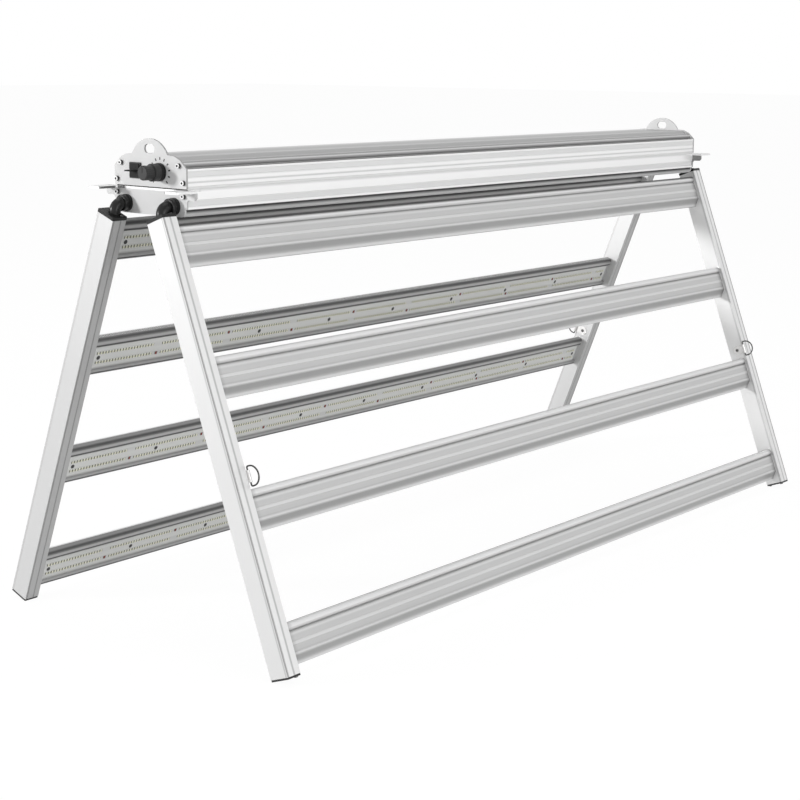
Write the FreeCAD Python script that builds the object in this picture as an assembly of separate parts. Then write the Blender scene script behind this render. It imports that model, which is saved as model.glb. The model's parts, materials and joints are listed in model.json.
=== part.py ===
import FreeCAD, Part
import math
import os
from FreeCAD import Vector

# Folding LED grow light, standing as an A-frame.
# +X runs along the housing (the dimmer end is -X), +Y runs across it, +Z is up.
# The origin lies on the floor under the middle of the housing.  All sizes in millimetres.

# ---------------------------------------------------------------- whole light
overall_length = 1100.0        # over the outer faces of the side rails
lean = 20.8                    # each wing stands out from the vertical by this angle, degrees
pivot_half_gap = 37.0          # hinge axis to the middle plane
running_gap = 0.05             # radial clearance of a turning fit
seat_gap = 0.3                 # clearance between curved faces of different bodies

# ---------------------------------------------------------------- side rails
rail_width = 19.0              # along X
rail_depth = 25.6              # square to the wing
rail_length = 489.4
rail_wall = 1.6
rail_to_pivot = 13.0           # hinge axis down to the rail's sawn top
rail_inner_to_pivot = 15.5     # hinge axis out from the rail's inner face
rail_split = 11.2               # rail's outer side face to the joint of cover and channel
rail_lap = 1.3                 # how far the cover's lips reach inside the channel
lap_gap = 0.15
rail_port_radius = 2.0         # round screw ports in the channel's corners
shadow_groove = 0.6            # depth and width of the groove beside the rail's outer edge
corner_groove_at = 2.0

# ---------------------------------------------------------------- light bars
bars_per_wing = 4
bar_first = 7.4                # rail top to the first bar
bar_width = 45.2
bar_pitch = 143.2
bar_inner = 9.0                # rail's inner face to the bar's LED side
bar_depth = 13.2
bar_wall = 1.6
bead_radius = 4.6              # rolled top edge, with the screw port inside
rim_port = (4.2, 2.9)          # second screw port, in from the bar's lower edge and LED side
panel_drop = 1.5               # outer panel below the bead's crown
panel_ridge = 3.4
panel_ridge_height = 0.6
panel_groove = 0.6
inner_lip_curve = 3.5          # rolled corner of the LED side's upper lip
inner_slot = 1.2               # dark slot between that lip and the board
inner_slot_depth = 3.0
inner_slot_to_board = 0.5
lower_bevel = 7.0
lower_lip = 3.2
board_width = 27.0
board_from_top = 11.0          # bar's top edge to the board's top edge
board_thickness = 1.5
board_margin = 8.0             # board end to bar end
board_screw_count = 9
board_screw_margin = 8.0
board_screw_radius = 1.5
board_screw_height = 0.5

# ---------------------------------------------------------------- housing
housing_half_width = 55.2
end_plate_half_width = 55.8
end_plate_thickness = 2.2
end_plate_face = 520.6         # outer face of the end plates from the middle
housing_wall = 2.2
lower_bottom = -10.7           # heights below are measured from the hinge axis
lower_bead_centre = (47.5, -5.4)
lower_bead_radius = 5.3
lower_side_bottom = -2.6
slot_depth = 4.2               # shadow slot between a bead and the side wall
lower_recess = (0.2, 7.2)      # band on the lower side wall
ear_web_bottom = 7.4           # side ears of the lower end plate, the wings' stops
ear_web_half_width = 70.0
ear_web_fillet = 4.0
ear_web_chamfer = 2.5
stop_plate_bottom = 15.2
stop_plate_thickness = 2.4
stop_plate_half_width = 70.0
stop_plate_grip = 18.0         # how far it reaches in between the housings
stop_shelf = 6.6               # its shelf outside the end plate
tongue_inner = 49.3            # the tongue that reaches out over the rail
tongue_end = 3.0               # short of the rail's outer face
upper_plate_lift = 1.2         # shadow gap under the upper end plate
upper_side_top = 39.4
upper_recesses = ((18.0, 21.2), (31.0, 37.0))
upper_line = 26.0              # thin groove on the upper side wall
upper_line_width = 0.8
recess_depth = 0.7
upper_bead_centre = (46.0, 42.2)
upper_bead_radius = 4.6
deck_height = 51.6
deck_half_width = 37.5
shoulder = (46.5, 48.2)        # end plate's upper shoulder point
ear_base_half_width = 27.5
ear_base_height = 53.0
ear_top_height = 69.4
hang_hole_height = 58.6
hang_hole_width = 15.8
hang_hole_tall = 9.7
screw_bosses_upper = ((45.0, 42.6), (51.6, 25.0))
screw_bosses_lower = ((51.6, 11.0),)
boss_radius = 3.4

# ---------------------------------------------------------------- screws
screw_head_radius = 2.75
screw_head_height = 3.0
screw_shank_radius = 1.5
screw_shank_length = 9.0
hex_socket_radius = 1.44
hex_socket_depth = 1.3
small_head_radius = 2.3
small_head_height = 1.3
small_head_edge = 0.8
small_shank_radius = 1.1
small_shank_length = 5.0

# ---------------------------------------------------------------- hinges
hub_flange_radius = 9.2
hub_flange_thickness = 3.6
hub_bush_radius = 6.0
hub_nut_radius = 8.0           # to the corners of the nut behind the end plate
hub_nut_thickness = 3.5
spigot_radius = 4.6            # elbow's turned end, in the hub
spigot_bore = 3.0
spigot_tip = 0.6               # beyond the clip
collar_radius = 8.8
collar_length = 5.4
collar_face_gap = 0.3
pipe_radius = 6.4
pipe_bore = 4.6
pipe_offset = 0.8              # pipe starts this far inward of the hinge axis
pipe_slant = 15.0              # and leans further inward, degrees
neck_end = 1.8                 # pipe's end above the cap's underside
pipe_to_plate = 17.6           # pipe's foot to the end plate's face
clip_radius = 7.2
clip_thickness = 0.8
clip_groove = 0.6
cap_thickness = 3.5
cap_overhang = 0.5
cap_screw_inset = 3.4           # from the rail's inner and outer faces
cap_screw_to_bars = 4.2        # from the side the bars stand on
foot_thickness = 2.2

# ---------------------------------------------------------------- controls
knob_y = -16.0
knob_height = 34.8
knob_skirt_radius = 9.3
knob_skirt_length = 8.2
knob_grip_radius = 7.7
knob_length = 19.7
knob_gap = 0.8                 # knob to the ring nut
knob_flutes = 18
knob_flute_radius = 0.5
knob_line_width = 1.0
knob_key_length = 9.0          # flat on the shaft inside the knob
pot_shaft_radius = 3.0
pot_shaft_length = 18.0        # out from the end plate
pot_shaft_end = 3.0            # short of the can's back
pot_bush_radius = 4.2
pot_bush_length = 4.5
pot_body_radius = 8.2
pot_body_length = 9.0
pot_nut_radius = 9.6           # black ring nut, knurled
pot_nut_thickness = 4.5
pot_nut_notches = 24
pot_nut_notch_radius = 0.45
port_y = 21.8
port_height = 35.1
port_size = 17.0
port_bezel = 1.8
port_body_size = 14.0
port_body_length = 16.0
plug_size = 12.4
plug_thickness = 1.2
plug_tab_length = 9.5
plug_tab_width = 9.0
plug_tab_thickness = 1.4

# ---------------------------------------------------------------- driver inside
driver_length = 420.0
driver_width = 72.0
driver_height = 20.0
driver_foot_length = 14.0
driver_foot_thickness = 2.0

# ---------------------------------------------------------------- hanging rings
ring_from_rail_top = 280.6     # middle of the ring, down the rail
ring_wire_radius = 0.9
ring_wire_sides = 10           # flats that stand for the round wire
ring_width = 21.2              # over the wire's centre line
ring_reach = 14.3
ring_bend_radius = 1.6
strap_width = 13.0
strap_thickness = 1.0
strap_reach = 18.6             # from the rail's outer face to the strap's round end
strap_screw_from_face = 11.5
ring_axis_above_face = 1.0

# ---------------------------------------------------------------- derived
lean_rad = math.radians(lean)
rail_bottom = rail_to_pivot + rail_length
foot_bottom = rail_bottom + foot_thickness
pivot_z = foot_bottom * math.cos(lean_rad) + rail_inner_to_pivot * math.sin(lean_rad)
rail_outer_x = overall_length / 2
rail_inner_x = rail_outer_x - rail_width
rail_mid_x = rail_outer_x - rail_width / 2
rail_outer_h = rail_depth - rail_inner_to_pivot
housing_half_length = end_plate_face - end_plate_thickness
bar_half_length = rail_inner_x
rail_joint_x = rail_outer_x - rail_split
cap_screw_x = rail_inner_x + cap_screw_to_bars
stop_plate_top = stop_plate_bottom + stop_plate_thickness
upper_plate_bottom = stop_plate_top + upper_plate_lift


# ---------------------------------------------------------------- drawing helpers
def rounded_face(corners, to_space):
    """Flat face from corners (a, b) or (a, b, radius), each radius a tangent arc."""
    edges = []
    starts = []
    count = len(corners)
    for index in range(count):
        corner = corners[index]
        here = Vector(corner[0], corner[1], 0)
        radius = corner[2] if len(corner) > 2 else 0.0
        before = Vector(corners[index - 1][0], corners[index - 1][1], 0)
        after = Vector(corners[(index + 1) % count][0], corners[(index + 1) % count][1], 0)
        if radius == 0:
            starts.append((here, here, None))
            continue
        into = (before - here).normalize()
        away = (after - here).normalize()
        half_angle = into.getAngle(away) / 2
        setback = radius / math.tan(half_angle)
        middle = (into + away).normalize()
        centre = here + middle * (radius / math.sin(half_angle))
        starts.append((here + into * setback, here + away * setback, centre - middle * radius))
    for index in range(count):
        first, last, crown = starts[index]
        if crown is not None:
            arc = Part.Arc(to_space(first), to_space(crown), to_space(last))
            edges.append(arc.toShape())
        following = starts[(index + 1) % count][0]
        if last.distanceToPoint(following) > 1e-6:
            edges.append(Part.makeLine(to_space(last), to_space(following)))
    return Part.Face(Part.Wire(edges))


def along_x(corners, x_from, x_to):
    """Prism with a (y, z) outline, z counted from the hinge axis."""
    face = rounded_face(corners, lambda p: Vector(x_from, p.x, pivot_z + p.y))
    return face.extrude(Vector(x_to - x_from, 0, 0))


def mirrored_outline(half):
    """Whole outline from its +Y half, listed from the bottom to the top."""
    other = [(-corner[0],) + tuple(corner[1:]) for corner in reversed(half) if corner[0] > 0]
    return list(half) + other


def wing_point(x, t, h):
    """Point of a wing hanging straight down from the axis: t down the rail, h outward."""
    return Vector(x, -h, -t)


def wing_bar(corners, x_from, x_to):
    """Prism along X with a (t, h) outline on the hanging wing."""
    face = rounded_face(corners, lambda p: wing_point(x_from, p.x, p.y))
    return face.extrude(Vector(x_to - x_from, 0, 0))


def wing_block(x_from, x_to, t_from, t_to, h_from, h_to):
    size = Vector(x_to - x_from, h_to - h_from, t_to - t_from)
    return Part.makeBox(size.x, size.y, size.z, wing_point(x_from, t_to, h_to))


def x_cylinder(radius, x_from, x_to, y=0.0, z=0.0):
    start = Vector(min(x_from, x_to), y, z)
    return Part.makeCylinder(radius, abs(x_to - x_from), start, Vector(1, 0, 0))


def placed(shape, side):
    """Swing a hanging -Y wing out to its lean, and mirror it for the +Y side."""
    shape = shape.copy()
    shape.rotate(Vector(0, 0, 0), Vector(1, 0, 0), -lean)
    shape.translate(Vector(0, -pivot_half_gap, pivot_z))
    return shape if side < 0 else shape.mirror(Vector(0, 0, 0), Vector(0, 1, 0))


def far_copy(shape):
    return shape.mirror(Vector(0, 0, 0), Vector(1, 0, 0))


def one_solid(shape):
    shape = shape.removeSplitter()
    return shape.Solids[0] if len(shape.Solids) == 1 else shape


def save(name, shapes):
    """Write one node: a single solid, or a group of separate solids."""
    solids = []
    for shape in shapes if isinstance(shapes, list) else [shapes]:
        solids.extend(shape.Solids)
    whole = solids[0] if len(solids) == 1 else Part.makeCompound(solids)
    whole.exportStep(os.path.join("parts", name + ".step"))


def cap_screw(base, outward):
    """Socket-head screw whose head sits on base and points outward."""
    head = Part.makeCylinder(screw_head_radius, screw_head_height, base, outward)
    rim = [edge for edge in head.Edges if abs(edge.CenterOfMass.distanceToPoint(
        base + outward * screw_head_height)) < 0.01]
    head = head.makeChamfer(0.5, rim)
    shank = Part.makeCylinder(screw_shank_radius, screw_shank_length, base, outward * -1)
    turn = FreeCAD.Rotation(Vector(0, 0, 1), outward)
    points = []
    for corner in range(7):
        angle = math.radians(60 * corner)
        flat = Vector(math.cos(angle), math.sin(angle), 0) * hex_socket_radius
        points.append(base + outward * (screw_head_height - hex_socket_depth) + turn.multVec(flat))
    socket = Part.Face(Part.makePolygon(points)).extrude(outward * (hex_socket_depth + 1))
    return head.fuse(shank).cut(socket).Solids[0]


def small_screw(base, outward):
    """Pan-head screw with a rounded edge, seated on base."""
    head = Part.makeCylinder(small_head_radius, small_head_height, base, outward)
    rim = [edge for edge in head.Edges if abs(edge.CenterOfMass.distanceToPoint(
        base + outward * small_head_height)) < 0.01]
    head = head.makeFillet(small_head_edge, rim)
    shank = Part.makeCylinder(small_shank_radius, small_shank_length, base, outward * -1)
    return head.fuse(shank).Solids[0]


os.makedirs("parts", exist_ok=True)


# ---------------------------------------------------------------- housing extrusions
def side_with_recesses(half_width, bottom, top, recesses):
    """Points up a side wall, stepping in at each recess."""
    points = [(half_width, bottom)]
    for low, high in recesses:
        points.append((half_width, low))
        points.append((half_width - recess_depth, low + recess_depth))
        points.append((half_width - recess_depth, high - recess_depth))
        points.append((half_width, high))
    points.append((half_width, top))
    return points


def ring_port(y, z, x_from, x_to):
    """Screw bores of both sides, as tools to cut with."""
    bores = [x_cylinder(screw_shank_radius, x_from, x_to, side * y, pivot_z + z) for side in (-1, 1)]
    return bores[0].fuse(bores[1])


def upper_housing():
    length = housing_half_length
    bead_y, bead_z = upper_bead_centre
    groove = (upper_line - upper_line_width / 2, upper_line + upper_line_width / 2)
    half = [(0, stop_plate_top)]
    half += side_with_recesses(housing_half_width, stop_plate_top, upper_side_top, upper_recesses)
    half.append((bead_y + 1.0, upper_side_top))
    half.append((bead_y + 1.0, upper_side_top + 1.6))
    half.append((bead_y + upper_bead_radius, upper_side_top + 1.6, 0.8))
    half.append((bead_y + upper_bead_radius, bead_z + upper_bead_radius, upper_bead_radius - 0.1))
    half.append((bead_y - 2.6, bead_z + upper_bead_radius, 0.8))
    half.append((bead_y - 3.4, bead_z + upper_bead_radius - 1.0, 0.8))
    half.append((deck_half_width, deck_height, 3.0))
    half.append((0, deck_height))
    body = along_x(mirrored_outline(half), -length, length)
    inside = housing_half_width - housing_wall - recess_depth
    low = stop_plate_top + housing_wall
    roof = deck_height - housing_wall
    cavity = [(0, low), (inside, low, 1.0), (inside, upper_side_top - housing_wall, 1.0),
              (bead_y - upper_bead_radius - 1.0, upper_side_top, 2.0),
              (deck_half_width - housing_wall, roof, 1.5), (0, roof)]
    body = body.cut(along_x(mirrored_outline(cavity), -length - 1, length + 1))
    for side in (-1, 1):
        y, z = screw_bosses_upper[1]
        boss = x_cylinder(boss_radius, -length, length, side * y, pivot_z + z)
        body = body.fuse(boss.common(Part.makeBox(
            2 * length, 2 * (housing_half_width - recess_depth), deck_height,
            Vector(-length, -housing_half_width + recess_depth, pivot_z + stop_plate_top))))
        line_y = side * housing_half_width
        body = body.cut(Part.makeBox(
            2 * length + 2, 2 * recess_depth, groove[1] - groove[0],
            Vector(-length - 1, line_y - recess_depth, pivot_z + groove[0])))
    for y, z in screw_bosses_upper:
        for end in (-1, 1):
            bore = ring_port(y, z, end * (length + 1), end * (length - screw_shank_length))
            body = body.cut(bore)
    return one_solid(body)


def lower_housing():
    length = housing_half_length
    bead_y, bead_z = lower_bead_centre
    half = [(0, lower_bottom + 1.0), (bead_y - lower_bead_radius - 2.0, lower_bottom + 1.0),
            (bead_y - lower_bead_radius, lower_bottom),
            (bead_y + lower_bead_radius, lower_bottom, lower_bead_radius - 0.1),
            (bead_y + lower_bead_radius, lower_side_bottom - 1.8, 0.8),
            (bead_y + 1.0, lower_side_bottom - 1.8),
            (bead_y + 1.0, lower_side_bottom)]
    half += side_with_recesses(housing_half_width, lower_side_bottom, stop_plate_top, (lower_recess,))
    half.append((0, stop_plate_top))
    body = along_x(mirrored_outline(half), -length, length)
    inside = housing_half_width - housing_wall - recess_depth
    low = lower_bottom + 1.0 + housing_wall
    roof = stop_plate_bottom - housing_wall
    cavity = [(0, low), (bead_y - lower_bead_radius - 0.5, low, 1.5),
              (bead_y - 1.5, lower_side_bottom + housing_wall, 1.0),
              (inside, lower_side_bottom + housing_wall, 1.0), (inside, roof, 1.0), (0, roof)]
    body = body.cut(along_x(mirrored_outline(cavity), -length - 1, length + 1))
    for side in (-1, 1):
        y, z = screw_bosses_lower[0]
        boss = x_cylinder(boss_radius, -length, length, side * y, pivot_z + z)
        body = body.fuse(boss.common(Part.makeBox(
            2 * length, 2 * (housing_half_width - recess_depth), roof + housing_wall - lower_bottom,
            Vector(-length, -housing_half_width + recess_depth, pivot_z + lower_bottom))))
    for end in (-1, 1):
        for y, z in screw_bosses_lower:
            body = body.cut(ring_port(y, z, end * (length + 1), end * (length - screw_shank_length)))
        x_from = end * (length - stop_plate_grip) if end > 0 else -length - 1
        body = body.cut(Part.makeBox(
            stop_plate_grip + 1, 2 * housing_half_width + 2, stop_plate_thickness + 1,
            Vector(x_from, -housing_half_width - 1, pivot_z + stop_plate_bottom)))
    return one_solid(body)


save("upper_housing", upper_housing())
save("lower_housing", lower_housing())


# ---------------------------------------------------------------- end plates
def ear_outline():
    """Upper end plate: upright sides, sloped shoulders and the round hanging ear."""
    return [(end_plate_half_width, upper_plate_bottom), (end_plate_half_width, upper_side_top + 0.2),
            shoulder, (deck_half_width, deck_height + 0.6), (ear_base_half_width, ear_base_height)]


def upper_end_plate(end):
    half = ear_outline()
    x_from = min(end * housing_half_length, end * end_plate_face)
    x_to = x_from + end_plate_thickness

    def at(y, z):
        return Vector(x_from, y, pivot_z + z)

    edges = [Part.makeLine(at(-half[0][0], half[0][1]), at(*half[0]))]
    for first, second in zip(half, half[1:]):
        edges.append(Part.makeLine(at(*first), at(*second)))
    left = (-half[-1][0], half[-1][1])
    edges.append(Part.Arc(at(*half[-1]), at(0, ear_top_height), at(*left)).toShape())
    mirrored = [(-y, z) for y, z in reversed(half)]
    for first, second in zip(mirrored, mirrored[1:]):
        edges.append(Part.makeLine(at(*first), at(*second)))
    plate = Part.Face(Part.Wire(edges)).extrude(Vector(end_plate_thickness, 0, 0))
    reach = (hang_hole_width - hang_hole_tall) / 2
    tall = hang_hole_tall / 2
    hole = [(-reach - tall, hang_hole_height - tall, tall - 0.01),
            (reach + tall, hang_hole_height - tall, tall - 0.01),
            (reach + tall, hang_hole_height + tall, tall - 0.01),
            (-reach - tall, hang_hole_height + tall, tall - 0.01)]
    plate = plate.cut(along_x(hole, x_from - 1, x_to + 1))
    for y, z in screw_bosses_upper:
        plate = plate.cut(ring_port(y, z, x_from - 1, x_to + 1))
    if end < 0:
        plate = plate.cut(x_cylinder(pot_bush_radius, x_from - 1, x_to + 1, knob_y, pivot_z + knob_height))
        half_port = port_body_size / 2
        port = [(port_y - half_port, port_height - half_port), (port_y + half_port, port_height - half_port),
                (port_y + half_port, port_height + half_port), (port_y - half_port, port_height + half_port)]
        plate = plate.cut(along_x(port, x_from - 1, x_to + 1))
    return plate.Solids[0]


def lower_end_plate(end):
    x_from = min(end * housing_half_length, end * end_plate_face)
    x_to = x_from + end_plate_thickness
    side = end_plate_half_width
    bead_y, bead_z = lower_bead_centre
    half = [(0, lower_bottom), (bead_y + lower_bead_radius, lower_bottom, lower_bead_radius),
            (bead_y + lower_bead_radius, lower_side_bottom, 1.0), (side, lower_side_bottom, 1.0),
            (side, ear_web_bottom, ear_web_fillet),
            (ear_web_half_width - ear_web_chamfer, ear_web_bottom),
            (ear_web_half_width, ear_web_bottom + ear_web_chamfer),
            (ear_web_half_width, stop_plate_bottom), (0, stop_plate_bottom)]
    plate = along_x(mirrored_outline(half), x_from, x_to)
    for y, z in screw_bosses_lower:
        plate = plate.cut(ring_port(y, z, x_from - 1, x_to + 1))
    for wing in (-1, 1):
        hole = x_cylinder(hub_bush_radius, x_from - 1, x_to + 1, wing * pivot_half_gap, pivot_z)
        plate = plate.cut(hole)
    return plate.Solids[0]


save("control_end_plate", upper_end_plate(-1))
save("plain_end_plate", upper_end_plate(1))
save("lower_end_plate_near", lower_end_plate(-1))
save("lower_end_plate_far", lower_end_plate(1))


# ---------------------------------------------------------------- stop plates
def stop_plate(end):
    """Flat plate between the housings, with a shelf and a tongue out over each rail."""
    shelf_x = end_plate_face + stop_shelf
    tongue_x = rail_outer_x - tongue_end
    root_x = housing_half_length - stop_plate_grip
    half = [(root_x, housing_half_width - 1.0), (housing_half_length, housing_half_width - 1.0),
            (housing_half_length, stop_plate_half_width), (tongue_x, stop_plate_half_width, 2.0),
            (tongue_x, tongue_inner, 2.0), (shelf_x, tongue_inner, 1.0),
            (shelf_x, end_plate_half_width - 13.0, 2.0), (end_plate_face, end_plate_half_width - 15.0)]
    outline = half + [(x,) + (-rest[0],) + tuple(rest[1:]) for x, *rest in reversed(half)]
    face = rounded_face(outline, lambda p: Vector(p.x, p.y, pivot_z + stop_plate_bottom))
    plate = face.extrude(Vector(0, 0, stop_plate_thickness))
    return plate if end > 0 else far_copy(plate)


save("stop_plate_near", stop_plate(-1))
save("stop_plate_far", stop_plate(1))


# ---------------------------------------------------------------- end plate screws
def end_plate_screws():
    screws = []
    for end in (-1, 1):
        for y, z in screw_bosses_upper + screw_bosses_lower:
            for side in (-1, 1):
                base = Vector(end * end_plate_face, side * y, pivot_z + z)
                screws.append(cap_screw(base, Vector(end, 0, 0)))
    return screws


save("end_plate_screws", end_plate_screws())


# ---------------------------------------------------------------- driver
def led_driver():
    """Sealed power supply on the floor of the upper housing, held by a foot at each end."""
    floor = pivot_z + stop_plate_top + housing_wall
    box = Part.makeBox(driver_length, driver_width, driver_height,
                       Vector(-driver_length / 2, -driver_width / 2, floor))
    uprights = [edge for edge in box.Edges if abs(edge.tangentAt(edge.FirstParameter).x) > 0.9
                and edge.CenterOfMass.z > floor + 1]
    box = box.makeFillet(2.0, uprights)
    feet = Part.makeBox(driver_length + 2 * driver_foot_length, driver_width / 2, driver_foot_thickness,
                        Vector(-driver_length / 2 - driver_foot_length, -driver_width / 4, floor))
    return one_solid(box.fuse(feet))


save("led_driver", led_driver())


# ---------------------------------------------------------------- dimmer and port
def potentiometer():
    """Can behind the end plate and a threaded bush through it, bored for the shaft."""
    face = -end_plate_face
    back = -housing_half_length + pot_body_length
    z = pivot_z + knob_height
    body = x_cylinder(pot_body_radius, -housing_half_length, back, knob_y, z)
    bush = x_cylinder(pot_bush_radius, face - pot_bush_length, -housing_half_length, knob_y, z)
    bore = x_cylinder(pot_shaft_radius + running_gap, face - pot_bush_length - 1,
                      back - pot_shaft_end, knob_y, z)
    return one_solid(body.fuse(bush).cut(bore))


def dimmer_shaft():
    """Shaft with a flat, from inside the can out into the knob."""
    face = -end_plate_face
    z = pivot_z + knob_height
    tip = face - pot_shaft_length
    shaft = x_cylinder(pot_shaft_radius, tip, -housing_half_length + pot_body_length - pot_shaft_end - 0.3,
                       knob_y, z)
    return shaft.cut(shaft_flat()).Solids[0]


def hex_nut(across, thickness, bore, x_from, y, z):
    points = [Vector(x_from, y + across * math.cos(math.radians(60 * k)),
                     z + across * math.sin(math.radians(60 * k))) for k in range(7)]
    nut = Part.Face(Part.makePolygon(points)).extrude(Vector(thickness, 0, 0))
    return nut.cut(x_cylinder(bore, x_from - 1, x_from + thickness + 1, y, z)).Solids[0]


def dimmer_nut():
    """Round nut on the bush, notched all round."""
    z = pivot_z + knob_height
    start = -end_plate_face - pot_nut_thickness
    nut = x_cylinder(pot_nut_radius, start, -end_plate_face, knob_y, z)
    rim = [edge for edge in nut.Edges if len(edge.Vertexes) == 1 and edge.CenterOfMass.x < start + 0.1]
    nut = nut.makeChamfer(0.7, rim)
    nut = nut.cut(x_cylinder(pot_bush_radius, start - 1, -end_plate_face + 1, knob_y, z))
    return nut.cut(around_knob(pot_nut_notches, pot_nut_radius, pot_nut_notch_radius,
                               start - 1, -end_plate_face - 1.0)).Solids[0]


def around_knob(count, radius, size, x_from, x_to):
    """Round cutters in a ring about the knob's axis."""
    cutters = []
    for index in range(count):
        angle = 2 * math.pi * (index + 0.5) / count
        y = knob_y + (radius + size * 0.4) * math.cos(angle)
        z = pivot_z + knob_height + (radius + size * 0.4) * math.sin(angle)
        cutters.append(x_cylinder(size, x_from, x_to, y, z))
    return cutters[0].fuse(cutters[1:])


def dimmer_knob():
    """Stepped knob: a wide base, a fluted grip and a pointer line on its end."""
    face = -end_plate_face - pot_nut_thickness - knob_gap
    z = pivot_z + knob_height
    tip = face - knob_length
    skirt = x_cylinder(knob_skirt_radius, face - knob_skirt_length, face, knob_y, z)
    grip = x_cylinder(knob_grip_radius, tip, face - knob_skirt_length, knob_y, z)
    knob = skirt.fuse(grip)
    rims = [edge for edge in knob.Edges if len(edge.Vertexes) == 1 and edge.CenterOfMass.x < face - 1
            and (edge.CenterOfMass.x < tip + 0.1 or edge.Length > 2 * math.pi * (knob_grip_radius + 1))]
    knob = knob.makeChamfer(0.8, rims)
    knob = knob.cut(around_knob(knob_flutes, knob_grip_radius, knob_flute_radius,
                                tip - 1, face - knob_skirt_length - 0.6))
    line = Part.makeBox(0.8, knob_line_width, knob_grip_radius,
                        Vector(tip - 0.4, knob_y - knob_line_width / 2, z))
    knob = knob.cut(line)
    shaft_tip = -end_plate_face - pot_shaft_length
    bore = x_cylinder(pot_shaft_radius, shaft_tip, face + 1, knob_y, z)
    return one_solid(knob.cut(bore.cut(shaft_flat())))


def shaft_flat():
    """What is cut off the shaft's end to key the knob."""
    return Part.makeBox(knob_key_length, 2 * pot_shaft_radius, pot_shaft_radius,
                        Vector(-end_plate_face - pot_shaft_length, knob_y - pot_shaft_radius,
                               pivot_z + knob_height + pot_shaft_radius * 0.5))


def port_socket():
    """Square control socket: bezel on the plate, body behind it, hollow mouth."""
    half = port_size / 2
    body_half = port_body_size / 2 - running_gap
    mouth = plug_size / 2 + 0.15

    def square(size, x_from, x_to, radius=0.0):
        corners = [(port_y + a * size, port_height + b * size, radius) for a, b in
                   ((-1, -1), (1, -1), (1, 1), (-1, 1))]
        return along_x(corners, x_from, x_to)

    bezel = square(half, -end_plate_face - port_bezel, -end_plate_face, 1.0)
    body = square(body_half, -end_plate_face, -end_plate_face + port_body_length)
    hollow = square(mouth, -end_plate_face - port_bezel - 1, -end_plate_face + port_body_length - 3)
    return one_solid(bezel.fuse(body).cut(hollow))


def port_plug():
    """Rubber dust plug with a flat pull tab."""
    half = plug_size / 2
    front = -end_plate_face - port_bezel

    def square(size, x_from, x_to, radius=0.0):
        corners = [(port_y + a * size, port_height + b * size, radius) for a, b in
                   ((-1, -1), (1, -1), (1, 1), (-1, 1))]
        return along_x(corners, x_from, x_to)

    stem = square(half, front, -end_plate_face + 6.0, 0.8)
    flange = square(half + 1.0, front - plug_thickness, front, 1.0)
    tab = [(port_y - plug_tab_width / 2, port_height - plug_tab_thickness / 2),
           (port_y + plug_tab_width / 2, port_height - plug_tab_thickness / 2),
           (port_y + plug_tab_width / 2, port_height + plug_tab_thickness / 2),
           (port_y - plug_tab_width / 2, port_height + plug_tab_thickness / 2)]
    pull = along_x(tab, front - plug_thickness - plug_tab_length, front - plug_thickness)
    return one_solid(stem.fuse([flange, pull]))


save("dimmer_potentiometer", potentiometer())
save("dimmer_shaft", dimmer_shaft())
save("dimmer_nut", dimmer_nut())
save("dimmer_knob", dimmer_knob())
save("control_socket", port_socket())
save("control_socket_plug", port_plug())


# ---------------------------------------------------------------- hinge hubs
def hinge_hub():
    """Flanged bush through the end plate, drawn on the axis at the near end."""
    face = -end_plate_face
    inner_end = -housing_half_length + hub_nut_thickness
    hub = x_cylinder(hub_flange_radius, face - hub_flange_thickness, face)
    hub = hub.fuse(x_cylinder(hub_bush_radius, face, inner_end))
    bore = x_cylinder(spigot_radius + running_gap, face - hub_flange_thickness - 1, inner_end + 1)
    return hub.cut(bore).Solids[0]


def hub_nut():
    return hex_nut(hub_nut_radius, hub_nut_thickness, hub_bush_radius, -housing_half_length, 0, 0)


def at_every_hinge(make):
    """Copies of a piece drawn on the axis, one at each of the four hinges."""
    copies = []
    for side in (-1, 1):
        for end in (-1, 1):
            piece = make()
            piece.translate(Vector(0, -pivot_half_gap, pivot_z))
            if side > 0:
                piece = piece.mirror(Vector(0, 0, 0), Vector(0, 1, 0))
            copies.append(piece if end < 0 else far_copy(piece))
    return copies


save("hinge_hubs", at_every_hinge(hinge_hub))
save("hinge_hub_nuts", at_every_hinge(hub_nut))


# ---------------------------------------------------------------- hinge elbows
def clip_from():
    """Where the clip starts on the spigot, inside the housing."""
    return -housing_half_length + hub_nut_thickness + collar_face_gap


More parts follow.
